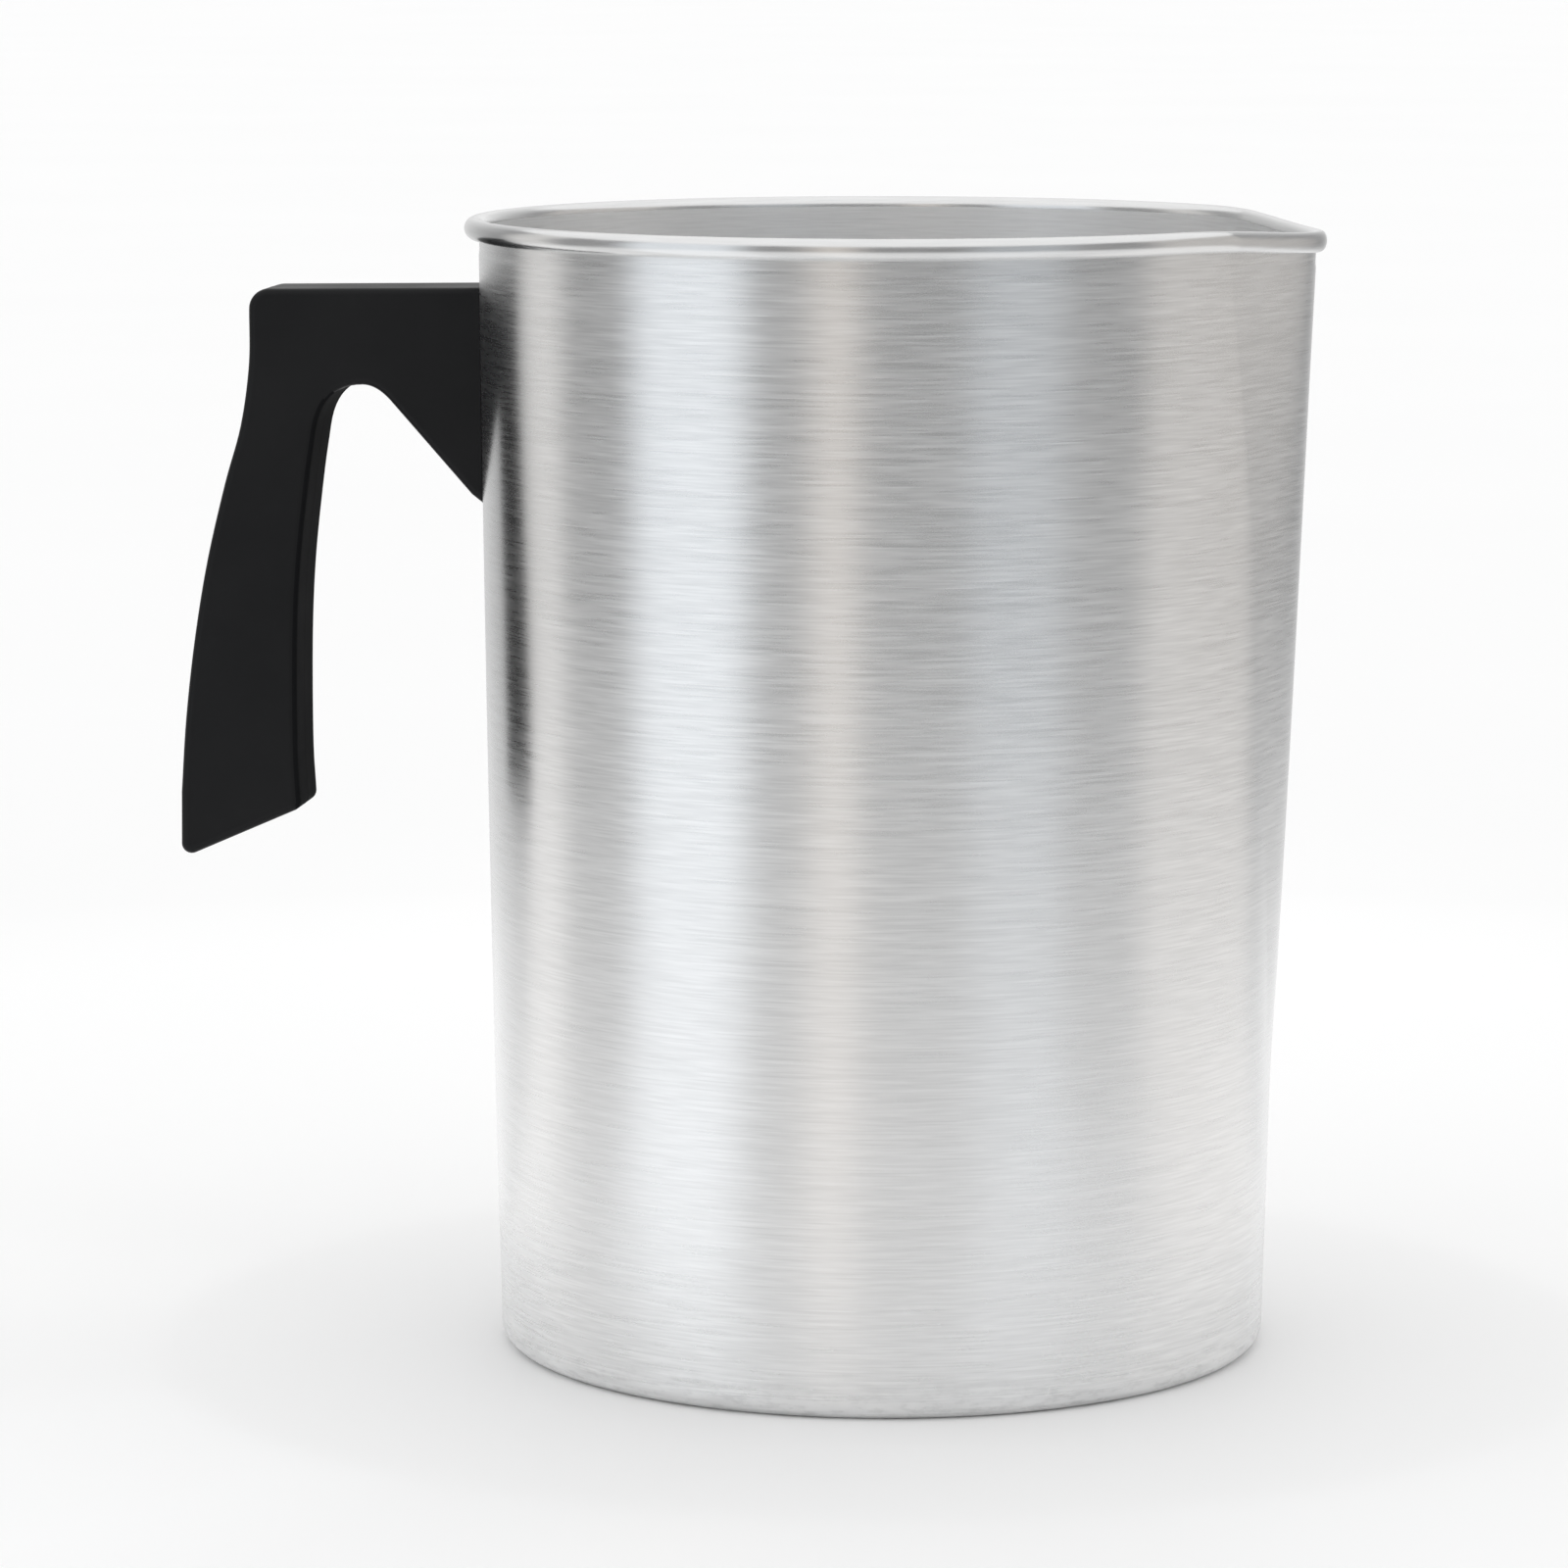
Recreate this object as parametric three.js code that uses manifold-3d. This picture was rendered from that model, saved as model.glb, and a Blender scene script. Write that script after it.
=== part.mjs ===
// A pouring pot for melting wax: a drawn aluminium pot with a rolled rim and a pressed spout, and a
// moulded handle held by two screws that are driven from inside the pot.
//
// Millimetres, +Z up. The origin is the centre of the pot's base, on the surface that it stands on.
// The spout points along +X and the handle along -X.

import * as THREE from "three";
import { mergeVertices } from "three/addons/utils/BufferGeometryUtils.js";
import Module from "manifold-3d";

const DEGREE = Math.PI / 180;

// Pot: one drawn sheet with a round foot and a wall that flares and bows slightly.
const potHeight = 200; // base to the top of the rim
const mouthRadius = 71.1; // outer face of the wall at the rim
const baseRadius = 68; // outer face of the wall at the base
const wallBow = 0.5; // how far the wall bulges at half its height
const sheet = 1;
const cornerRadius = 3.2; // outside, where the wall meets the base

// Rim: the sheet rolled outwards into a bead that stays open by a slit against the wall.
const beadHeight = 3.7;
const beadOverhang = 2.5; // how far the bead stands out from the wall
const curlSlit = 0.3;

// Spout: a V with a rounded nose, pressed out of the wall. It is widest and deepest at the rim.
const spoutReach = 4.8; // wall to nose at the rim
const spoutFoot = 44; // height at which the nose's line would meet the wall
const spoutFadeStart = 30; // the pressing fades in between these two heights
const spoutFadeEnd = 70;
const spoutMouthAngle = 30 * DEGREE; // plan angle from nose to crease at the rim
const spoutLeastAngle = 6 * DEGREE;
const creaseFoot = 22; // height at which the two creases would meet
const creaseCurve = 1.05; // above 1, the creases open slowly at first
const noseEase = 4.7; // rounding of the nose, as the half width of the V that it takes up
const noseOverhang = 1.7; // the bead is drawn flatter round the nose
const spoutDroop = 2; // how far the rim dips at the nose
const droopAngle = 40 * DEGREE; // plan angle from the nose at which the rim is level again
const droopDepth = 25; // the wall shares in the dip over this height below the bead

// Handle: an arm, a hanging grip and a strut in one moulding. Its outline is set out in the XZ
// plane: "out" runs away from the wall, and "down" runs down from the arm's top face.
const handleDrop = 12.6; // rim to the arm's top face
const handleWidth = 17;
const handleEdge = 1.4; // rounding of the long edges, less than the outline's own corners
const armReach = 41; // wall to the arm's outer face
const armFall = 0.5; // how much lower the arm's top is at its outer end
const armDepth = 17.3; // arm's top face to the top of the finger gap
const armCorner = 3.6;
const gripLength = 102.6; // arm's top face to the foot's outer corner
const gripFootReach = 54.5; // wall to the grip's outer face at its foot
const gripInnerReach = 33.15; // wall to the grip's inner face, where fingers go through
const gripFootSlant = 23.6 * DEGREE;
const gripToe = 0.5; // the foot's inner corner stands in towards the pot by this
const footCorner = 1.8;
const archOut = 20.8; // wall to the highest point of the finger gap
const archHalfSpan = 5; // from there to where the strut's straight underside starts
const archRise = 2.75; // how far the strut's underside has dropped there
const archLean = 1.3; // the arch's outer end leans in from the grip by this
const strutDepth = 38; // arm's top face to the strut's foot on the wall
const rootOverlap = 8; // the blank runs this far into the pot, and the wall's shape is cut from it

// The grip's outer face sweeps out from the arm to its foot: [share of length, share of sweep].
const gripSweep = [
  [0.136, 0.016],
  [0.242, 0.136],
  [0.344, 0.358],
  [0.479, 0.607],
  [0.617, 0.79],
  [0.754, 0.917],
  [0.882, 0.989],
];
// The grip's inner face, from its foot up: [share of length, distance out from its inner reach].
const gripHollow = [
  [0.8, 0],
  [0.62, -0.1],
  [0.48, -0.85],
  [0.338, -2.5],
  [0.25, -3.85],
];

// Fasteners: M4 pan-head screws, in brass inserts moulded into the handle's root.
const screwRadius = 2;
const headRadius = 4;
const headHeight = 2.6;
const headRim = 1.1; // straight side of the head, below its dome
const recessLength = 4.4;
const recessWidth = 1;
const recessDepth = 1.5;
const washerRadius = 4.5;
const washerThickness = 0.8;
const sealRadius = 4.75;
const sealThickness = 1.2;
const insertWall = 0.85; // brass round the thread
const insertLength = 6.5;
const insertGroove = 0.4; // depth of the groove that keys the insert into the moulding
const insertSetback = 0.4; // insert's face behind the handle's root face
const tipSetback = 1; // screw's tip inside the insert's far end
const boreSkin = 2.3; // least plastic between an insert's bore and the handle's outside

// Clearances.
const seatGap = 0.3; // pieces that seat on the pot's round wall
const stackGap = 0.05; // flat pieces stacked on each other
const holeGap = 0.25; // round a screw in the wall and in its washer and seal
const threadGap = 0.15; // round a screw in its insert
const insertGap = 0.15; // round an insert in the handle
const boreEndGap = 0.6; // past an insert's far end

// Sizes that follow from these.
const insertRadius = screwRadius + threadGap + insertWall;
const boreRadius = insertRadius + insertGap;
const boreReach = seatGap + insertSetback + insertLength + boreEndGap; // wall to the bore's end
const strutStart = [archOut - archHalfSpan, armDepth + archRise]; // its underside's upper end
const strutSlope = (strutDepth - strutStart[1]) / strutStart[0];
const armTop = potHeight - handleDrop;
const screwHeights = {
  upper: armTop - boreSkin - boreRadius,
  lower: armTop - strutDepth + boreRadius + (boreReach + boreSkin) * strutSlope,
};

// Fineness of the faceted surfaces.
const columns = 76; // round the pot
const spoutColumns = 8; // of those, on each side of the nose
const wallRows = 12;
const beadSteps = 16;
const curveSteps = 4;
const edgeSteps = 3;
const noseCrowding = 1.3; // above 1, the spout's columns lie closer together round the nose
const smallRound = 24;

const wasm = await Module();
wasm.setup();

function clamp(value, low, high) {
  return Math.min(Math.max(value, low), high);
}

function smoothStep(value, start, end) {
  const share = clamp((value - start) / (end - start), 0, 1);
  return share * share * (3 - 2 * share);
}

// A closed geometry as a solid that can be cut. Vertices that meet are merged, and the triangles
// that a lathe leaves collapsed on its axis are dropped.
function solidOf(geometry) {
  const bare = geometry.index ? geometry.toNonIndexed() : geometry.clone();
  bare.deleteAttribute("normal");
  bare.deleteAttribute("uv");
  const merged = mergeVertices(bare, 1e-4);
  const corners = merged.index.array;
  const kept = [];
  for (let i = 0; i < corners.length; i += 3) {
    const [a, b, c] = [corners[i], corners[i + 1], corners[i + 2]];
    if (a !== b && b !== c && c !== a) kept.push(a, b, c);
  }
  const mesh = new wasm.Mesh({
    numProp: 3,
    vertProperties: merged.getAttribute("position").array,
    triVerts: new Uint32Array(kept),
  });
  return new wasm.Manifold(mesh);
}

function geometryOf(solid) {
  const mesh = solid.getMesh();
  const geometry = new THREE.BufferGeometry();
  geometry.setAttribute("position", new THREE.BufferAttribute(mesh.vertProperties, 3));
  geometry.setIndex(new THREE.BufferAttribute(mesh.triVerts, 1));
  const faceted = geometry.toNonIndexed();
  faceted.computeVertexNormals();
  return faceted;
}

// Turns a profile of [radius, height] points about the Z axis.
function turned(profile, segments) {
  const points = profile.map(([radius, height]) => new THREE.Vector2(radius, height));
  return new THREE.LatheGeometry(points, segments).rotateX(Math.PI / 2);
}

// A round bar along X, from x = start to x = end, at height z.
function barAlongX(radius, start, end, z) {
  const bar = new THREE.CylinderGeometry(radius, radius, Math.abs(end - start), smallRound);
  return bar.rotateZ(Math.PI / 2).translate((start + end) / 2, 0, z);
}

function part(name, geometry, material) {
  const mesh = new THREE.Mesh(geometry, material);
  mesh.name = name;
  return mesh;
}

// ---- Pot ----

function wallRadius(z) {
  const share = z / potHeight;
  const flare = baseRadius + (mouthRadius - baseRadius) * share;
  return flare + wallBow * 4 * share * (1 - share);
}

function arcPoints(centre, radii, startAngle, endAngle, steps) {
  return Array.from({ length: steps + 1 }, (_, i) => {
    const angle = startAngle + ((endAngle - startAngle) * i) / steps;
    return [centre[0] + radii[0] * Math.cos(angle), centre[1] + radii[1] * Math.sin(angle)];
  });
}

// The pot's section, from the base's centre up its outside, round the bead and down its inside.
function potProfile() {
  const beadMiddle = potHeight - beadHeight / 2;
  const beadRadii = [(sheet + beadOverhang) / 2, beadHeight / 2];
  const hollowRadii = beadRadii.map((radius) => radius - sheet);
  const beadWall = wallRadius(beadMiddle);
  const beadCentre = [beadWall - sheet + beadRadii[0], beadMiddle];
  const curlEnd = -Math.acos((beadWall + curlSlit - beadCentre[0]) / beadRadii[0]);

  const wallHeights = Array.from({ length: wallRows + 1 }, (_, row) => {
    const wallTop = potHeight - beadHeight - sheet;
    return cornerRadius + ((wallTop - cornerRadius) * row) / wallRows;
  });
  const outerWall = wallHeights.map((z) => [wallRadius(z), z]);
  const innerWall = wallHeights.map((z) => [wallRadius(z) - sheet, z]).reverse();

  const cornerCentre = [wallRadius(cornerRadius) - cornerRadius, cornerRadius];
  const innerCorner = cornerRadius - sheet;
  return [
    [0, 0],
    ...arcPoints(cornerCentre, [cornerRadius, cornerRadius], -Math.PI / 2, 0, curveSteps).slice(0, -1),
    ...outerWall,
    ...arcPoints(beadCentre, hollowRadii, Math.PI, curlEnd, beadSteps / 2),
    ...arcPoints(beadCentre, beadRadii, curlEnd, Math.PI, beadSteps),
    ...innerWall.slice(0, -1),
    ...arcPoints(cornerCentre, [innerCorner, innerCorner], 0, -Math.PI / 2, curveSteps),
    [0, sheet],
  ];
}

function spoutHalfAngle(z) {
  const share = clamp((z - creaseFoot) / (potHeight - creaseFoot), 0, 1);
  return Math.max(spoutMouthAngle * share ** creaseCurve, spoutLeastAngle);
}

// Where a point of the round pot goes when the spout is pressed: the lathe's columns fan out to
// follow the two creases, and between the creases the wall becomes a V with a rounded nose.
function pressed(x, y, z) {
  const radius = Math.hypot(x, y);
  const turn = Math.abs(Math.atan2(y, x));
  const side = y < 0 ? -1 : 1;
  const gridAngle = (2 * Math.PI * spoutColumns) / columns;
  const halfAngle = spoutHalfAngle(z);

  const beadUnderside = potHeight - beadHeight;
  const dipShare = smoothStep(z, beadUnderside - droopDepth, beadUnderside);
  const dipped = (angle) => {
    const level = clamp(angle / droopAngle, 0, 1);
    return z - spoutDroop * dipShare * Math.cos((level * Math.PI) / 2) ** 2;
  };

  if (turn >= gridAngle - 1e-6) {
    const share = (turn - gridAngle) / (Math.PI - gridAngle);
    const angle = halfAngle + share * (Math.PI - halfAngle);
    return [radius * Math.cos(angle), side * radius * Math.sin(angle), dipped(angle)];
  }

  const across = (turn / gridAngle) ** noseCrowding;
  const angle = across * halfAngle;
  const round = [radius * Math.cos(angle), radius * Math.sin(angle)];

  const wall = wallRadius(z);
  const reach = (spoutReach * Math.max(z - spoutFoot, 0)) / (potHeight - spoutFoot);
  const creaseY = wall * Math.sin(halfAngle);
  const depth = wall + reach - wall * Math.cos(halfAngle);
  const slope = depth / (Math.hypot(creaseY, noseEase) - noseEase);
  const faceY = across * creaseY;
  const run = Math.hypot(faceY, noseEase);
  const faceX = wall + reach - slope * (run - noseEase);
  const normal = new THREE.Vector2(1, (slope * faceY) / run).normalize();
  const flattened = noseOverhang / beadOverhang + (1 - noseOverhang / beadOverhang) * across;
  const offset = radius > wall ? (radius - wall) * flattened : radius - wall;
  const vee = [faceX + offset * normal.x, faceY + offset * normal.y];

  const amount = smoothStep(z, spoutFadeStart, spoutFadeEnd);
  const pressedX = round[0] + (vee[0] - round[0]) * amount;
  const pressedY = round[1] + (vee[1] - round[1]) * amount;
  return [pressedX, side * pressedY, dipped(angle)];
}

function potBody() {
  const geometry = turned(potProfile(), columns);
  const position = geometry.getAttribute("position");
  for (let i = 0; i < position.count; i += 1) {
    position.setXYZ(i, ...pressed(position.getX(i), position.getY(i), position.getZ(i)));
  }
  const blank = solidOf(geometry);
  const holes = Object.values(screwHeights).map((z) => {
    const wall = wallRadius(z);
    return solidOf(barAlongX(screwRadius + holeGap, -wall - sheet, -wall + 2 * sheet, z));
  });
  return geometryOf(holes.reduce((solid, hole) => solid.subtract(hole), blank));
}

// ---- Handle ----

// Rounds the corner between the shape's current point and the next one, and stops where the arc
// ends.
function roundCorner(shape, corner, next, radius) {
  const back = shape.currentPoint.clone().sub(corner).normalize();
  const ahead = next.clone().sub(corner).normalize();
  const half = Math.acos(back.dot(ahead)) / 2;
  const bisector = back.clone().add(ahead).normalize();
  const centre = corner.clone().addScaledVector(bisector, radius / Math.sin(half));
  const arcStart = corner.clone().addScaledVector(back, radius / Math.tan(half));
  const arcEnd = corner.clone().addScaledVector(ahead, radius / Math.tan(half));
  const startAngle = arcStart.clone().sub(centre).angle();
  const endAngle = arcEnd.sub(centre).angle();
  shape.lineTo(arcStart.x, arcStart.y);
  shape.absarc(centre.x, centre.y, radius, startAngle, endAngle, back.cross(ahead) > 0);
}

function handleOutline() {
  const wall = wallRadius(armTop);
  const at = (out, down) => new THREE.Vector2(-wall - out, armTop - down);
  const shape = new THREE.Shape();
  const lineTo = (point) => shape.lineTo(point.x, point.y);
  const curveTo = (bend, point) => shape.quadraticCurveTo(bend.x, bend.y, point.x, point.y);

  const sweep = gripFootReach - armReach;
  const outerFace = gripSweep.map(([length, out]) => at(armReach + sweep * out, gripLength * length));
  const slant = Math.tan(gripFootSlant);
  const outerFoot = at(gripFootReach, gripLength);
  const toeReach = gripInnerReach - gripToe;
  const innerFoot = at(toeReach, gripLength - (gripFootReach - toeReach) * slant);
  const innerFace = gripHollow.map(([length, out]) => at(gripInnerReach + out, gripLength * length));
  const archEnd = gripInnerReach + gripHollow.at(-1)[1] - archLean;

  shape.moveTo(at(-rootOverlap, 0).x, at(-rootOverlap, 0).y);
  roundCorner(shape, at(armReach, armFall), outerFace[0], armCorner);
  shape.splineThru(outerFace);
  roundCorner(shape, outerFoot, innerFoot, footCorner);
  roundCorner(shape, innerFoot, innerFace[0], footCorner);
  shape.splineThru(innerFace);
  curveTo(at(archEnd, armDepth), at(archOut, armDepth));
  curveTo(at(archOut - archHalfSpan / 2, armDepth), at(...strutStart));
  lineTo(at(-rootOverlap, strutDepth + rootOverlap * strutSlope));
  shape.closePath();
  return shape;
}

function handle() {
  const blank = new THREE.ExtrudeGeometry(handleOutline(), {
    depth: handleWidth - 2 * handleEdge,
    curveSegments: curveSteps,
    bevelThickness: handleEdge,
    bevelSize: handleEdge,
    bevelOffset: -handleEdge,
    bevelSegments: edgeSteps,
  });
  blank.translate(0, 0, handleEdge - handleWidth / 2).rotateX(Math.PI / 2);

  const wallRow = (potHeight - beadHeight - cornerRadius) / wallRows;
  const rows = Array.from({ length: wallRows + 1 }, (_, row) => cornerRadius + row * wallRow);
  const wallOutside = rows.map((z) => [wallRadius(z) + seatGap, z]);
  let solid = solidOf(blank).subtract(
    solidOf(turned([[0, rows[0]], ...wallOutside, [0, rows.at(-1)]], columns)),
  );
  for (const z of Object.values(screwHeights)) {
    const wall = wallRadius(z);
    solid = solid.subtract(solidOf(barAlongX(boreRadius, -wall + sheet, -wall - boreReach, z)));
  }
  return geometryOf(solid);
}

// ---- Fasteners ----
// Each stack is set out along its own Z axis, which points into the pot from the seal's outer face.

// The radius at which the seal's flat face clears the round inner wall by the seat gap.
function sealSeat(z) {
  const narrowest = Math.min(wallRadius(z - sealRadius), wallRadius(z + sealRadius)) - sheet;
  return Math.sqrt(narrowest ** 2 - sealRadius ** 2) - seatGap;
}

function insertNear(z) {
  return wallRadius(z) + seatGap + insertSetback;
}

function ring(innerRadius, outerRadius, start, end) {
  const profile = [
    [innerRadius, start],
    [outerRadius, start],
    [outerRadius, end],
    [innerRadius, end],
    [innerRadius, start],
  ];
  return turned(profile, smallRound);
}

function screw(underHead, tip) {
  const dome = arcPoints([0, underHead + headRim], [headRadius, headHeight - headRim], 0, Math.PI / 2, curveSteps);
  const chamfer = screwRadius / 4;
  const profile = [
    [0, tip],
    [screwRadius - chamfer, tip],
    [screwRadius, tip + chamfer],
    [screwRadius, underHead],
    [headRadius, underHead],
    ...dome.slice(0, -1),
    [0, underHead + headHeight],
  ];
  const depth = recessDepth + 1; // the cutter stands proud of the dome
  const middle = underHead + headHeight - recessDepth + depth / 2;
  const slots = [
    new THREE.BoxGeometry(recessLength, recessWidth, depth).translate(0, 0, middle),
    new THREE.BoxGeometry(recessWidth, recessLength, depth).translate(0, 0, middle),
  ];
  const solid = slots.reduce(
    (cut, slot) => cut.subtract(solidOf(slot)),
    solidOf(turned(profile, smallRound)),
  );
  return geometryOf(solid);
}

function insert(start, end) {
  const bore = screwRadius + threadGap;
  const grooveRadius = insertRadius - insertGroove;
  const quarter = (end - start) / 4;
  const profile = [
    [bore, start],
    [insertRadius, start],
    [insertRadius, start + quarter],
    [grooveRadius, start + quarter],
    [grooveRadius, end - quarter],
    [insertRadius, end - quarter],
    [insertRadius, end],
    [bore, end],
    [bore, start],
  ];
  return turned(profile, smallRound);
}

function fastenerStack(place, z) {
  const seat = sealSeat(z);
  const washerStart = sealThickness + stackGap;
  const underHead = washerStart + washerThickness + stackGap;
  const insertStart = seat - insertNear(z);
  const insertEnd = insertStart - insertLength;
  const hole = screwRadius + holeGap;

  const stack = new THREE.Group();
  stack.add(
    part(`seal_${place}`, ring(hole, sealRadius, 0, sealThickness), silicone),
    part(`washer_${place}`, ring(hole, washerRadius, washerStart, underHead - stackGap), steel),
    part(`screw_${place}`, screw(underHead, insertEnd + tipSetback), steel),
    part(`insert_${place}`, insert(insertEnd, insertStart), brass),
  );
  stack.rotation.y = Math.PI / 2;
  stack.position.set(-seat, 0, z);
  return stack;
}

// ---- Materials ----

const aluminium = new THREE.MeshStandardMaterial({ color: 0xc9cccf, roughness: 0.35, metalness: 1 });
const blackPlastic = new THREE.MeshStandardMaterial({ color: 0x1b1c1e, roughness: 0.5, metalness: 0 });
const steel = new THREE.MeshStandardMaterial({ color: 0xb4b6b8, roughness: 0.3, metalness: 1 });
const brass = new THREE.MeshStandardMaterial({ color: 0xb8934a, roughness: 0.35, metalness: 1 });
const silicone = new THREE.MeshStandardMaterial({ color: 0xa8423a, roughness: 0.6, metalness: 0 });

// ---- Assembly ----

const meltingPot = new THREE.Group();
meltingPot.add(part("pot_body", potBody(), aluminium));
meltingPot.add(part("handle", handle(), blackPlastic));
for (const [place, z] of Object.entries(screwHeights)) {
  meltingPot.add(fastenerStack(place, z));
}

export default meltingPot;
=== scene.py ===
"""The visual model of a pouring pot for melting wax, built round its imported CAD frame.

Lengths are in metres. The pot stands on z = 0 with its axis on Z, the spout's nose towards +X and
the handle towards -X, as in the frame.
"""
import math

import bmesh
import bpy
from mathutils import Euler, Matrix, Vector, noise


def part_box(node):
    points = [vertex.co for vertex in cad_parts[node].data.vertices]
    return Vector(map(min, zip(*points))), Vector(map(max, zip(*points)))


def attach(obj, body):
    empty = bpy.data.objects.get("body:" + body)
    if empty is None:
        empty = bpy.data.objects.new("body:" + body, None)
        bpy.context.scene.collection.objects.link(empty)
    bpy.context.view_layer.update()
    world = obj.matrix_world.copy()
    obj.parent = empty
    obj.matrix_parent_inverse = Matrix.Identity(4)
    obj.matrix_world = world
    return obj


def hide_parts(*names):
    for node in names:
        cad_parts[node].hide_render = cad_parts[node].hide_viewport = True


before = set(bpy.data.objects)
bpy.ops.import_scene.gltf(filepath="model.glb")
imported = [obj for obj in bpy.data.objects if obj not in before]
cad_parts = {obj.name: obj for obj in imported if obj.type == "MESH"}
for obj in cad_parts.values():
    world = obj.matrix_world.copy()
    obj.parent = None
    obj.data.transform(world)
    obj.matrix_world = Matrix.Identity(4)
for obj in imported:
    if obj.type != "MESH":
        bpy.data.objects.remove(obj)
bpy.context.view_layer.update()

MM = 0.001
BODY = "root"

# ---- Sizes, as in the CAD model ----

# Pot
POT_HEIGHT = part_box("pot_body")[1].z
MOUTH_RADIUS = 71.1 * MM
BASE_RADIUS = 68 * MM
WALL_BOW = 0.5 * MM
SHEET = 1 * MM
CORNER_RADIUS = 3.2 * MM

# Rim
BEAD_HEIGHT = 3.7 * MM
BEAD_OVERHANG = 2.5 * MM
CURL_SLIT = 0.3 * MM
NECK_DEPTH = 0.12 * MM
NECK_HEIGHT = 2.4 * MM
NECK_BLEND = 1 * MM

# Spout
SPOUT_REACH = 4.8 * MM
SPOUT_FOOT = 44 * MM
SPOUT_FADE = (30 * MM, 70 * MM)
SPOUT_MOUTH_ANGLE = math.radians(30)
SPOUT_LEAST_ANGLE = math.radians(6)
CREASE_FOOT = 22 * MM
CREASE_CURVE = 1.05
NOSE_EASE = 4.7 * MM
NOSE_OVERHANG = 1.7 * MM
SPOUT_DROOP = 2 * MM
DROOP_ANGLE = math.radians(40)
DROOP_DEPTH = 25 * MM

# Handle
ARM_TOP = POT_HEIGHT - 12.6 * MM
HANDLE_WIDTH = 17 * MM
HANDLE_EDGE = 1.4 * MM
ARM_REACH = 41 * MM
ARM_FALL = 0.5 * MM
ARM_DEPTH = 17.3 * MM
ARM_CORNER = 3.6 * MM
GRIP_LENGTH = 102.6 * MM
GRIP_FOOT_REACH = 54.5 * MM
GRIP_INNER_REACH = 33.15 * MM
GRIP_FOOT_SLANT = math.radians(23.6)
GRIP_TOE = 0.5 * MM
FOOT_CORNER = 1.8 * MM
ARCH_OUT = 20.8 * MM
ARCH_HALF_SPAN = 5 * MM
ARCH_RISE = 2.75 * MM
ARCH_LEAN = 1.3 * MM
STRUT_DEPTH = 38 * MM
GRIP_SWEEP = (
    (0.136, 0.016),
    (0.242, 0.136),
    (0.344, 0.358),
    (0.479, 0.607),
    (0.617, 0.79),
    (0.754, 0.917),
    (0.882, 0.989),
)
GRIP_HOLLOW = ((0.8, 0), (0.62, -0.1), (0.48, -0.85), (0.338, -2.5), (0.25, -3.85))
ROOT_GAP = 0.12 * MM
SEAM_HEIGHT = 0.03 * MM
SEAM_WIDTH = 0.35 * MM

# The real wall isn't quite even: it swells and sinks slightly, except near its foot and its rim.
RIPPLE_HEIGHT = 0.1 * MM
RIPPLES_PER_METRE = 28
RIPPLE_STRETCH = 0.35
RIPPLE_FOOT = (5 * MM, 40 * MM)
RIPPLE_TOP = (0.93 * POT_HEIGHT, POT_HEIGHT - MM)

# Fineness
COLUMNS = 300
SPOUT_COLUMNS = 40
NOSE_CROWDING = 1.15
WALL_ROWS = 84
NECK_ROWS = 8
INNER_ROWS = 44
BASE_RINGS = (0.12, 0.3, 0.5, 0.7, 0.86, 0.95)

# The pot's material zones
WALL, RIM, BASE, INSIDE = range(4)


def clamp(value, low, high):
    return min(max(value, low), high)


def smooth_step(value, start, end):
    share = clamp((value - start) / (end - start), 0, 1)
    return share * share * (3 - 2 * share)


# ---- Camera: the photograph's view ----

# It stands in front of the pot's side and is then swung round the pot's axis, so that the spout
# points slightly towards it and the handle slightly away.
VIEW_TURN = math.radians(6)
LENS = 144.7
CAMERA_DISTANCE = 1.1088
CAMERA_HEIGHT = 0.2577
CAMERA_PITCH = math.radians(8.128)
CAMERA_YAW = math.radians(0.907)


def make_camera():
    data = bpy.data.cameras.new("camera")
    data.sensor_width = 36
    data.lens = LENS
    data.clip_start = 0.05
    data.clip_end = 100
    camera = bpy.data.objects.new("camera", data)
    bpy.context.scene.collection.objects.link(camera)
    look = Euler((math.pi / 2 - CAMERA_PITCH, 0, CAMERA_YAW)).to_matrix()
    place = Matrix.Translation((0, -CAMERA_DISTANCE, CAMERA_HEIGHT)) @ look.to_4x4()
    camera.matrix_world = Matrix.Rotation(VIEW_TURN, 4, "Z") @ place
    bpy.context.scene.camera = camera


# ---- Meshes ----


def link_mesh(name, bm, materials, sharp_angle=None):
    """Makes an object from bm, smooth shaded apart from edges sharper than sharp_angle."""
    bmesh.ops.recalc_face_normals(bm, faces=bm.faces)
    for face in bm.faces:
        face.smooth = True
    if sharp_angle is not None:
        for edge in bm.edges:
            if len(edge.link_faces) == 2:
                edge.smooth = edge.calc_face_angle(0) < sharp_angle
    mesh = bpy.data.meshes.new(name)
    bm.to_mesh(mesh)
    bm.free()
    for material in materials:
        mesh.materials.append(material)
    piece = bpy.data.objects.new(name, mesh)
    bpy.context.scene.collection.objects.link(piece)
    return piece


def arc_points(centre, radii, start, end, steps):
    angles = [start + (end - start) * i / steps for i in range(steps + 1)]
    return [(centre[0] + radii[0] * math.cos(a), centre[1] + radii[1] * math.sin(a)) for a in angles]


def bridge(bm, lower, upper, material=0, closed=True):
    """Faces between two rows of vertices; a row of one vertex is a pole."""
    count = max(len(lower), len(upper))
    for i in range(count if closed else count - 1):
        j = (i + 1) % count
        if len(lower) == 1:
            corners = (lower[0], upper[j], upper[i])
        elif len(upper) == 1:
            corners = (lower[i], lower[j], upper[0])
        else:
            corners = (lower[i], lower[j], upper[j], upper[i])
        bm.faces.new(corners).material_index = material


# ---- Pot ----


def wall_radius(z):
    share = z / POT_HEIGHT
    return BASE_RADIUS + (MOUTH_RADIUS - BASE_RADIUS) * share + WALL_BOW * 4 * share * (1 - share)


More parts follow.
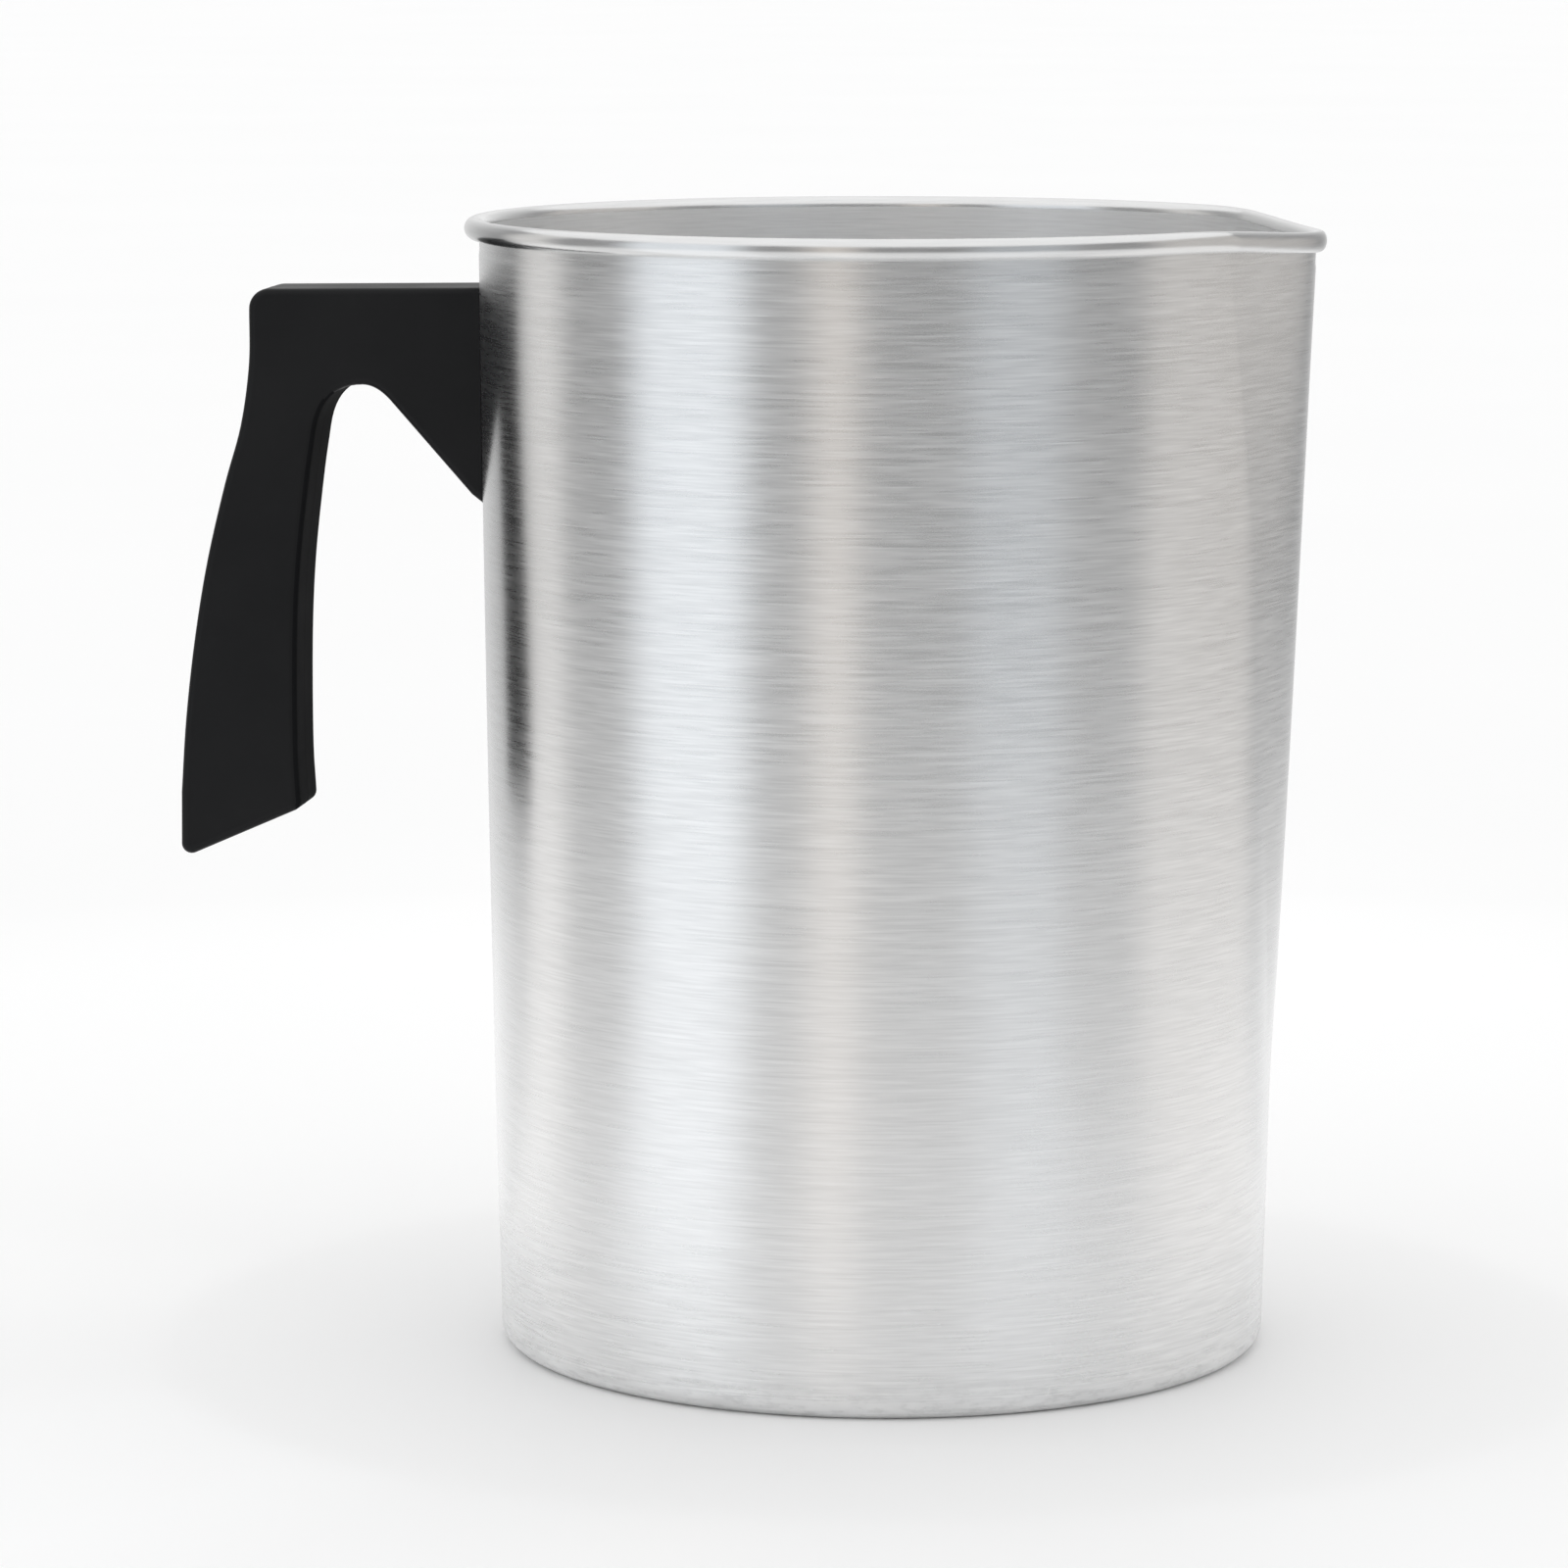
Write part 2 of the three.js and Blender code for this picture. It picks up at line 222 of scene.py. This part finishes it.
def pot_profile():
    """The pot's section as (radius, height, zone) rows, from the base's centre up its outside, round
    the bead and down its inside."""
    middle = POT_HEIGHT - BEAD_HEIGHT / 2
    bead = ((SHEET + BEAD_OVERHANG) / 2, BEAD_HEIGHT / 2)
    hollow = (bead[0] - SHEET, bead[1] - SHEET)
    bead_wall = wall_radius(middle)
    centre = (bead_wall - SHEET + bead[0], middle)
    curl_end = -math.acos((bead_wall + CURL_SLIT - centre[0]) / bead[0])

    wall_top = POT_HEIGHT - BEAD_HEIGHT
    neck_foot = wall_top - NECK_HEIGHT
    plain_top = neck_foot - NECK_BLEND

    def outer(z):
        neck = NECK_DEPTH * smooth_step(z, neck_foot - NECK_BLEND / 2, neck_foot + NECK_BLEND / 2)
        return (wall_radius(z) - neck, z, WALL)

    def heights(start, end, steps):
        return [start + (end - start) * i / steps for i in range(steps + 1)]

    corner = (wall_radius(CORNER_RADIUS) - CORNER_RADIUS, CORNER_RADIUS)
    outer_corner = arc_points(corner, (CORNER_RADIUS,) * 2, -math.pi / 2, 0, 8)
    inner_corner = arc_points(corner, (CORNER_RADIUS - SHEET,) * 2, 0, -math.pi / 2, 6)
    base_rings = [share * corner[0] for share in BASE_RINGS]

    rows = [(0, 0, BASE)]
    rows += [(r, 0, BASE) for r in base_rings]
    rows += [(r, z, BASE) for r, z in outer_corner[:-1]]
    rows += [outer(z) for z in heights(CORNER_RADIUS, plain_top, WALL_ROWS)]
    rows += [outer(z) for z in heights(plain_top, wall_top, NECK_ROWS)[1:]]
    rows += [(r, z, RIM) for r, z in arc_points(centre, hollow, math.pi, curl_end, 12)]
    rows += [(r, z, RIM) for r, z in arc_points(centre, bead, curl_end, math.pi, 32)]
    inner_heights = heights(CORNER_RADIUS, wall_top, INNER_ROWS)
    rows += [(wall_radius(z) - SHEET, z, INSIDE) for z in inner_heights[:0:-1]]
    rows += [(r, z, BASE) for r, z in inner_corner]
    rows += [(r, SHEET, BASE) for r in reversed(base_rings)]
    rows += [(0, SHEET, BASE)]
    return rows


def spout_half_angle(z):
    share = clamp((z - CREASE_FOOT) / (POT_HEIGHT - CREASE_FOOT), 0, 1)
    return max(SPOUT_MOUTH_ANGLE * share**CREASE_CURVE, SPOUT_LEAST_ANGLE)


def pressed(radius, turn, z):
    """Where the round pot's point at this radius, angle and height goes when the spout is pressed."""
    away = abs(turn)
    side = -1 if turn < 0 else 1
    grid_angle = 2 * math.pi * SPOUT_COLUMNS / COLUMNS
    half_angle = spout_half_angle(z)

    underside = POT_HEIGHT - BEAD_HEIGHT
    dip_share = smooth_step(z, underside - DROOP_DEPTH, underside)

    def dipped(angle):
        level = clamp(angle / DROOP_ANGLE, 0, 1)
        return z - SPOUT_DROOP * dip_share * math.cos(level * math.pi / 2) ** 2

    if away >= grid_angle - 1e-6:
        share = (away - grid_angle) / (math.pi - grid_angle)
        angle = half_angle + share * (math.pi - half_angle)
        return Vector((radius * math.cos(angle), side * radius * math.sin(angle), dipped(angle)))

    across = (away / grid_angle) ** NOSE_CROWDING
    angle = across * half_angle
    round_point = Vector((radius * math.cos(angle), radius * math.sin(angle)))

    wall = wall_radius(z)
    reach = SPOUT_REACH * max(z - SPOUT_FOOT, 0) / (POT_HEIGHT - SPOUT_FOOT)
    crease_y = wall * math.sin(half_angle)
    depth = wall + reach - wall * math.cos(half_angle)
    slope = depth / (math.hypot(crease_y, NOSE_EASE) - NOSE_EASE)
    face_y = across * crease_y
    run = math.hypot(face_y, NOSE_EASE)
    face_x = wall + reach - slope * (run - NOSE_EASE)
    normal = Vector((1, slope * face_y / run)).normalized()
    least = NOSE_OVERHANG / BEAD_OVERHANG
    offset = radius - wall
    if offset > 0:
        offset *= least + (1 - least) * across
    vee = Vector((face_x, face_y)) + offset * normal

    point = round_point.lerp(vee, smooth_step(z, *SPOUT_FADE))
    return Vector((point.x, side * point.y, dipped(angle)))


def rippled(point, z):
    """The point moved in or out by the wall's slight unevenness. z is its height before pressing."""
    amount = smooth_step(z, *RIPPLE_FOOT) * smooth_step(-z, -RIPPLE_TOP[1], -RIPPLE_TOP[0])
    out = Vector((point.x, point.y, 0)).normalized()
    place = Vector((point.x, point.y, RIPPLE_STRETCH * point.z)) * RIPPLES_PER_METRE
    return point + out * (RIPPLE_HEIGHT * amount * noise.noise(place))


def pot_body(materials):
    bm = bmesh.new()
    previous = None
    previous_zone = BASE
    for radius, z, zone in pot_profile():
        if radius == 0:
            row = [bm.verts.new((0, 0, z))]
        else:
            row = []
            for i in range(COLUMNS):
                turn = 2 * math.pi * i / COLUMNS
                if turn > math.pi:
                    turn -= 2 * math.pi
                row.append(bm.verts.new(rippled(pressed(radius, turn, z), z)))
        if previous:
            bridge(bm, previous, row, BASE if previous_zone == BASE else zone)
        previous = row
        previous_zone = zone
    return link_mesh("pot_shell", bm, materials)


# ---- Handle ----


def spline_through(points, steps):
    """A Catmull-Rom curve through the points, without the first point itself."""
    first = points[0] * 2 - points[1]
    last = points[-1] * 2 - points[-2]
    padded = [first, *points, last]
    found = []
    for i in range(1, len(padded) - 2):
        p0, p1, p2, p3 = padded[i - 1 : i + 3]
        for k in range(1, steps + 1):
            t = k / steps
            a = p1 * 2
            b = (p2 - p0) * t
            c = (p0 * 2 - p1 * 5 + p2 * 4 - p3) * t * t
            d = (p1 * 3 - p0 - p2 * 3 + p3) * t * t * t
            found.append((a + b + c + d) / 2)
    return found


def bend_to(start, control, end, steps):
    found = []
    for k in range(1, steps + 1):
        t = k / steps
        found.append(start * (1 - t) ** 2 + control * (2 * t * (1 - t)) + end * t**2)
    return found


def round_corner(before, corner, after, radius, steps):
    back = (before - corner).normalized()
    ahead = (after - corner).normalized()
    half = math.acos(clamp(back.dot(ahead), -1, 1)) / 2
    centre = corner + (back + ahead).normalized() * (radius / math.sin(half))
    start = corner + back * (radius / math.tan(half)) - centre
    end = corner + ahead * (radius / math.tan(half)) - centre
    sweep = start.angle_signed(end)
    return [centre + Matrix.Rotation(-sweep * k / steps, 2) @ start for k in range(steps + 1)]


def handle_outline():
    """The outline in the XZ plane, from the arm's top at the wall, out, down the grip and back. Its
    last points run up the wall and are the root."""
    wall = wall_radius(ARM_TOP)

    def at(out, down):
        return Vector((-wall - out, ARM_TOP - down))

    sweep = GRIP_FOOT_REACH - ARM_REACH
    outer_face = [at(ARM_REACH + sweep * out, GRIP_LENGTH * length) for length, out in GRIP_SWEEP]
    toe_reach = GRIP_INNER_REACH - GRIP_TOE
    outer_foot = at(GRIP_FOOT_REACH, GRIP_LENGTH)
    inner_foot = at(toe_reach, GRIP_LENGTH - (GRIP_FOOT_REACH - toe_reach) * math.tan(GRIP_FOOT_SLANT))
    inner_face = [at(GRIP_INNER_REACH + out * MM, GRIP_LENGTH * length) for length, out in GRIP_HOLLOW]
    arch_end = GRIP_INNER_REACH + GRIP_HOLLOW[-1][1] * MM - ARCH_LEAN
    strut_start = at(ARCH_OUT - ARCH_HALF_SPAN, ARM_DEPTH + ARCH_RISE)

    top_root = at(-ROOT_GAP, 0)
    strut_foot = at(0, STRUT_DEPTH)
    arm_steps = 14
    arm_end = at(ARM_REACH, ARM_FALL)
    arm_last = top_root.lerp(arm_end, 0.8)
    points = [top_root.lerp(arm_last, i / arm_steps) for i in range(arm_steps + 1)]
    points += round_corner(top_root, arm_end, outer_face[0], ARM_CORNER, 10)
    points += spline_through([points[-1], *outer_face], 7)
    points += round_corner(points[-1], outer_foot, inner_foot, FOOT_CORNER, 8)
    foot_start = points[-1]
    foot = round_corner(foot_start, inner_foot, inner_face[0], FOOT_CORNER, 8)
    points += [foot_start.lerp(foot[0], i / 8) for i in range(1, 8)]
    points += foot
    points += spline_through([points[-1], *inner_face], 9)
    arch_top = at(ARCH_OUT, ARM_DEPTH)
    points += bend_to(points[-1], at(arch_end, ARM_DEPTH), arch_top, 12)
    points += bend_to(arch_top, at(ARCH_OUT - ARCH_HALF_SPAN / 2, ARM_DEPTH), strut_start, 10)
    points += [strut_start.lerp(strut_foot, i / 12) for i in range(1, 13)]
    root_count = 16
    root = [strut_foot.lerp(top_root, i / root_count) for i in range(1, root_count)]
    return points, root


def handle(materials):
    outline, root = handle_outline()
    count = len(outline)
    inward = []
    for i, point in enumerate(outline):
        before = outline[i - 1] if i else point
        after = outline[i + 1] if i + 1 < count else point
        along = (after - before).normalized()
        inward.append(Vector((-along.y, along.x)))
    # The root stays on the wall, so its two end points slide along it.
    inward[0] = Vector((0, -1))
    slide = Vector((0, 1))
    inward[-1] = slide / slide.dot(inward[-1])

    half = HANDLE_WIDTH / 2
    flat = half - HANDLE_EDGE
    edge_steps = 6
    quarter = [math.pi / 2 * k / edge_steps for k in range(edge_steps, 0, -1)]
    edge = [(flat + HANDLE_EDGE * math.sin(a), HANDLE_EDGE * (1 - math.cos(a))) for a in quarter]
    middle = [(flat * share, 0) for share in (1, 0.75, 0.5, 0.25)]
    seam = [(SEAM_WIDTH, 0), (SEAM_WIDTH / 2, -0.8 * SEAM_HEIGHT), (0, -SEAM_HEIGHT)]
    near = edge + middle + seam
    sections = [(-y, inset) for y, inset in near] + [(y, inset) for y, inset in reversed(near[:-1])]

    bm = bmesh.new()
    rings = []
    for y, inset in sections:
        ring = []
        for point, normal in zip(outline, inward):
            moved = point + normal * inset
            ring.append(Vector((moved.x, y, moved.y)))
        foot, top = ring[-1], ring[0]
        for k in range(len(root)):
            ring.append(foot.lerp(top, (k + 1) / (len(root) + 1)))
        for i in (0, *range(count - 1, len(ring))):
            reach = wall_radius(ring[i].z) + ROOT_GAP
            ring[i].x = -math.sqrt(reach**2 - y**2)
        rings.append([bm.verts.new(point) for point in ring])
    for lower, upper in zip(rings, rings[1:]):
        bridge(bm, lower, upper)
    bm.faces.new(rings[0])
    bm.faces.new(reversed(rings[-1]))
    bmesh.ops.recalc_face_normals(bm, faces=bm.faces)
    bm.normal_update()
    grip_start = -wall_radius(ARM_TOP) - ARCH_OUT
    for face in bm.faces:
        inner_face = face.normal.x > 0.5 and face.calc_center_median().x < grip_start
        face.material_index = 1 if inner_face else 0
    piece = link_mesh("handle_moulding", bm, materials, math.radians(40))
    weighted = piece.modifiers.new("even_normals", "WEIGHTED_NORMAL")
    weighted.keep_sharp = True
    return piece


# ---- Materials ----


class Nodes:
    """A small helper that adds and links shader nodes."""

    def __init__(self, name):
        self.material = bpy.data.materials.new(name)
        self.material.use_nodes = True
        self.tree = self.material.node_tree
        self.shader = self.tree.nodes["Principled BSDF"]

    def add(self, kind, inputs=None, **settings):
        node = self.tree.nodes.new(kind)
        for key, value in settings.items():
            setattr(node, key, value)
        for key, value in (inputs or {}).items():
            self.feed(node.inputs[key], value)
        return node

    def feed(self, socket, value):
        if isinstance(value, bpy.types.NodeSocket):
            self.tree.links.new(value, socket)
        else:
            socket.default_value = value

    def math(self, operation, a, b=0.0):
        return self.add("ShaderNodeMath", {0: a, 1: b}, operation=operation).outputs[0]

    def mix(self, share, a, b):
        node = self.add("ShaderNodeMix", data_type="RGBA")
        self.feed(node.inputs["Factor"], share)
        self.feed(node.inputs[6], a)
        self.feed(node.inputs[7], b)
        return node.outputs[2]

    def span(self, value, low, high, to_low, to_high):
        inputs = {"Value": value, 1: low, 2: high, 3: to_low, 4: to_high}
        return self.add("ShaderNodeMapRange", inputs).outputs[0]

    def noise(self, vector, scale, detail=2.0, roughness=0.5):
        inputs = {"Vector": vector, "Scale": scale, "Detail": detail, "Roughness": roughness}
        return self.add("ShaderNodeTexNoise", inputs).outputs[0]

    def axes(self):
        coordinates = self.add("ShaderNodeTexCoord").outputs["Object"]
        return self.add("ShaderNodeSeparateXYZ", {0: coordinates}).outputs

    def place(self, scale=(1, 1, 1), location=(0, 0, 0)):
        coordinates = self.add("ShaderNodeTexCoord").outputs["Object"]
        inputs = {"Vector": coordinates, "Scale": scale, "Location": location}
        return self.add("ShaderNodeMapping", inputs).outputs[0]

    def bump(self, height, strength, distance):
        inputs = {"Height": height, "Strength": strength, "Distance": distance}
        return self.add("ShaderNodeBump", inputs).outputs[0]


# How far apart two neighbouring rows of brush marks lie in the noise, so that they are unlike.
ROW_SPREAD = 7.3


def brushed_aluminium(name, roughness, contrast, painted_light_scale=1.0, rings=False):
    """Aluminium with straight brush marks round the pot: in level rows on the walls, or in rings on
    the flat base. It is scuffed along the bottom corner. painted_light_scale multiplies the colour:
    below 1 it is painted shade, above 1 it is painted light."""
    n = Nodes(name)
    x, y, z = n.axes()
    if rings:
        across = n.math("SQRT", n.math("ADD", n.math("MULTIPLY", x, x), n.math("MULTIPLY", y, y)))
    else:
        across = z

    def dashes(row_height, length, detail):
        row = n.math("FLOOR", n.math("DIVIDE", across, row_height))
        along_x = n.math("DIVIDE", x, length)
        along_y = n.math("DIVIDE", y, length)
        apart = n.math("MULTIPLY", row, ROW_SPREAD)
        place = n.add("ShaderNodeCombineXYZ", {0: along_x, 1: along_y, 2: apart}).outputs[0]
        return n.noise(place, 1.0, detail)

    fine = n.math("MULTIPLY", dashes(0.26 * MM, 9 * MM, 1.0), 0.55)
    broad = n.math("MULTIPLY", dashes(0.5 * MM, 20 * MM, 2.0), 0.45)
    marks = n.math("ADD", fine, broad)
    smear = n.noise(n.place((16, 16, 10), (5, 2, 1)), 1.0, 3.0, 0.6)
    scratches = n.noise(n.place((300, 300, 900), (2, 8, 4)), 1.0, 3.0, 0.7)
    low = n.span(z, 1 * MM, 8 * MM, 1.0, 0.0)
    scuff = n.math("MULTIPLY", low, n.span(scratches, 0.5, 0.62, 0.0, 1.0))

    # The brush marks spread the colour as the metal's own marks. The scale factor on both ends is
    # painted light: below 1 it is painted shade, above 1 painted light.
    shade = n.span(marks, 0.35, 0.65, (1.0 - contrast) * painted_light_scale, (1.0 + 0.3 * contrast) * painted_light_scale)
    shade = n.math("SUBTRACT", shade, n.math("MULTIPLY", scuff, 0.1))
    colour = n.mix(smear, (0.82, 0.825, 0.83, 1), (0.88, 0.88, 0.875, 1))
    tinted = n.add("ShaderNodeMix", data_type="RGBA", blend_type="MULTIPLY")
    n.feed(tinted.inputs["Factor"], 1.0)
    n.feed(tinted.inputs[6], colour)
    n.feed(tinted.inputs[7], shade)
    n.feed(n.shader.inputs["Base Color"], tinted.outputs[2])
    uneven = n.math("ADD", n.math("MULTIPLY", marks, 0.6), n.math("MULTIPLY", smear, 0.4))
    rough = n.span(uneven, 0.35, 0.65, roughness * 0.8, roughness * 1.2)
    n.feed(n.shader.inputs["Roughness"], n.math("ADD", rough, n.math("MULTIPLY", scuff, 0.08)))
    n.shader.inputs["Metallic"].default_value = 1.0
    n.shader.inputs["Anisotropic"].default_value = 0.8
    n.shader.inputs["Anisotropic Rotation"].default_value = 0.25
    tangent = n.add("ShaderNodeTangent", direction_type="RADIAL", axis="Z").outputs[0]
    n.feed(n.shader.inputs["Tangent"], tangent)
    n.feed(n.shader.inputs["Normal"], n.bump(marks, 0.3 * contrast, 0.012 * MM))
    return n.material


def black_plastic(name, roughness, shine):
    """Heat-resistant plastic with a fine moulded grain and faint cloudy patches."""
    n = Nodes(name)
    grain = n.noise(n.place(), 2600.0, 2.0, 0.6)
    cloud = n.noise(n.place(), 45.0, 4.0, 0.6)
    dark, light = (0.0065, 0.0067, 0.0075, 1), (0.0115, 0.0117, 0.0125, 1)
    n.feed(n.shader.inputs["Base Color"], n.mix(cloud, dark, light))
    n.feed(n.shader.inputs["Roughness"], n.span(cloud, 0.3, 0.7, roughness * 0.9, roughness * 1.1))
    n.shader.inputs["Specular IOR Level"].default_value = shine
    n.feed(n.shader.inputs["Normal"], n.bump(grain, 0.25, 0.02 * MM))
    return n.material


def turned_metal(name, dark, light, roughness):
    """Metal turned on a lathe: fine rings round an axis along X, and a few worn patches."""
    n = Nodes(name)
    rings = n.noise(n.place((5200, 240, 240)), 1.0, 2.0)
    wear = n.noise(n.place(), 420.0, 3.0, 0.6)
    n.feed(n.shader.inputs["Base Color"], n.mix(n.span(wear, 0.35, 0.65, 0.0, 1.0), dark, light))
    n.feed(n.shader.inputs["Roughness"], n.span(wear, 0.3, 0.7, roughness * 0.8, roughness * 1.3))
    n.shader.inputs["Metallic"].default_value = 1.0
    n.feed(n.shader.inputs["Normal"], n.bump(rings, 0.25, 0.01 * MM))
    return n.material


def red_silicone(name):
    """Soft sealing rubber with a faint bloom and a matt moulded skin."""
    n = Nodes(name)
    bloom = n.noise(n.place(), 500.0, 3.0, 0.6)
    skin = n.noise(n.place(), 4200.0, 2.0)
    n.feed(n.shader.inputs["Base Color"], n.mix(bloom, (0.38, 0.045, 0.03, 1), (0.5, 0.085, 0.055, 1)))
    n.feed(n.shader.inputs["Roughness"], n.span(bloom, 0.3, 0.7, 0.55, 0.72))
    n.feed(n.shader.inputs["Normal"], n.bump(skin, 0.3, 0.02 * MM))
    return n.material


def finish_node(node, material):
    """Gives a CAD node that stays in view its better material."""
    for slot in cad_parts[node].material_slots:
        slot.material = material


# ---- Studio ----

# The light tent is dim cloth with a few soft boxes behind it, given as (middle azimuth in degrees,
# half width in degrees, brightness, warmth). Azimuth 0 faces the camera and grows towards the spout.
# Warmth above 1 is redder.
TENT_REACH = 0.62
TENT_HEIGHT = 0.55
TENT_LEVEL = 1.22
TENT_DIM = 0.25
TENT_BACK = 0.75
SOFT_EDGE = 10
SOFT_BOXES = (
    (-108, 5, 0.60, 1.04),
    (-54, 12, 0.75, 0.92),
    (-13, 1, 0.55, 1.15),
    (36, 8, 0.40, 0.92),
    (100, 20, 0.45, 1.08),
)
# Near the pot the tent lies on the floor, and the boxes fade towards its white.
APRON_REACH = 0.13
APRON_LIFT = 0.002
APRON_CURVE = (0.1, 0.05)
APRON_SPAN = 0.2
APRON_LEVEL = 1.25
APRON_FADE = 0.6


def tent_light(name):
    """An emissive material whose brightness follows the azimuth, in soft-edged upright boxes."""
    n = Nodes(name)
    x, y, _ = n.axes()
    azimuth = n.math("ARCTAN2", x, n.math("MULTIPLY", y, -1.0))
    ramp = n.add("ShaderNodeValToRGB", {0: n.span(azimuth, -math.pi, math.pi, 0.0, 1.0)})
    stops = ramp.color_ramp.elements
    for stop in stops:
        stop.color = (TENT_BACK, TENT_BACK, TENT_BACK, 1)
    for middle, half_width, level, warmth in SOFT_BOXES:
        lit = (level * math.sqrt(warmth), level, level / math.sqrt(warmth), 1)
        dim = (TENT_DIM, TENT_DIM, TENT_DIM, 1)
        outer = half_width + SOFT_EDGE
        for away, colour in ((-outer, dim), (-half_width, lit), (half_width, lit), (outer, dim)):
            stops.new((middle + away + 180) / 360).color = colour
    inwards = n.add("ShaderNodeVectorMath", {0: n.place((1, 1, 0))}, operation="LENGTH").outputs["Value"]
    fade = n.span(inwards, TENT_REACH, TENT_REACH - APRON_SPAN, 0.0, APRON_FADE)
    white = (APRON_LEVEL / TENT_LEVEL,) * 3 + (1,)
    n.shader.inputs["Base Color"].default_value = (0, 0, 0, 1)
    n.feed(n.shader.inputs["Emission Color"], n.mix(fade, ramp.outputs[0], white))
    n.shader.inputs["Emission Strength"].default_value = TENT_LEVEL
    return n.material


def make_tent():
    bm = bmesh.new()
    sides = 96
    rows = []
    section = (
        (APRON_REACH, APRON_LIFT),
        (TENT_REACH - APRON_CURVE[0], APRON_LIFT),
        (TENT_REACH, APRON_CURVE[1]),
        (TENT_REACH, TENT_HEIGHT),
    )
    for reach, z in section:
        ring = []
        for i in range(sides):
            angle = 2 * math.pi * i / sides
            ring.append(bm.verts.new((reach * math.cos(angle), reach * math.sin(angle), z)))
        rows.append(ring)
    for lower, upper in zip(rows, rows[1:]):
        bridge(bm, lower, upper)
    tent = link_mesh("light_tent", bm, [tent_light("tent_light")])
    tent.visible_camera = False
    tent.visible_shadow = False
    tent.visible_diffuse = False
    tent.rotation_euler.z = VIEW_TURN


# The floor lies just under the base, so that the two flat faces don't coincide.
FLOOR_GAP = 0.05 * MM
FLOOR_REACH = 30


def make_floor():
    n = Nodes("floor_white")
    mottle = n.noise(n.place(), 3.0, 2.0)
    n.feed(n.shader.inputs["Base Color"], n.mix(mottle, (0.90, 0.90, 0.90, 1), (0.92, 0.92, 0.92, 1)))
    n.shader.inputs["Roughness"].default_value = 0.7
    bm = bmesh.new()
    corners = ((-1, -1), (1, -1), (1, 1), (-1, 1))
    bm.faces.new([bm.verts.new((x * FLOOR_REACH, y * FLOOR_REACH, -FLOOR_GAP)) for x, y in corners])
    link_mesh("floor", bm, [n.material])


def make_lights():
    world = bpy.data.worlds.new("studio")
    bpy.context.scene.world = world
    world.use_nodes = True
    background = world.node_tree.nodes["Background"]
    background.inputs["Color"].default_value = (1, 1, 1, 1)
    background.inputs["Strength"].default_value = 1.07


# ---- The scene ----

make_camera()
make_floor()
make_tent()
make_lights()

wall_metal = brushed_aluminium("brushed_wall", 0.3, 0.13)
# The rim's colour is scaled down to 0.9 as painted shade, dimming the bead's bright reflection; the rim
# is the same sheet as the wall.
rim_metal = brushed_aluminium("rolled_rim_painted_shade", 0.22, 0.06, painted_light_scale=0.9)
base_metal = brushed_aluminium("base_metal", 0.34, 0.14, rings=True)
# The inside's colour is scaled up to 1.15 as painted light, brightening the dim interior; it is the same
# sheet as the outside.
inner_metal = brushed_aluminium("inner_wall_painted_light", 0.6, 0.1, painted_light_scale=1.15)
pot = pot_body([wall_metal, rim_metal, base_metal, inner_metal])
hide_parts("pot_body")
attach(pot, BODY)

smooth_plastic = black_plastic("black_moulding", 0.42, 0.12)
matt_plastic = black_plastic("grip_inner_face", 0.85, 0.03)
grip = handle([smooth_plastic, matt_plastic])
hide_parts("handle")
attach(grip, BODY)

steel = turned_metal("fastener_steel", (0.55, 0.55, 0.54, 1), (0.68, 0.68, 0.67, 1), 0.24)
brass = turned_metal("insert_brass", (0.62, 0.42, 0.18, 1), (0.78, 0.58, 0.28, 1), 0.26)
rubber = red_silicone("seal_silicone")
for place in ("upper", "lower"):
    finish_node(f"screw_{place}", steel)
    finish_node(f"washer_{place}", steel)
    finish_node(f"seal_{place}", rubber)
    finish_node(f"insert_{place}", brass)

bpy.context.scene.view_settings.view_transform = "Standard"

bpy.context.view_layer.update()
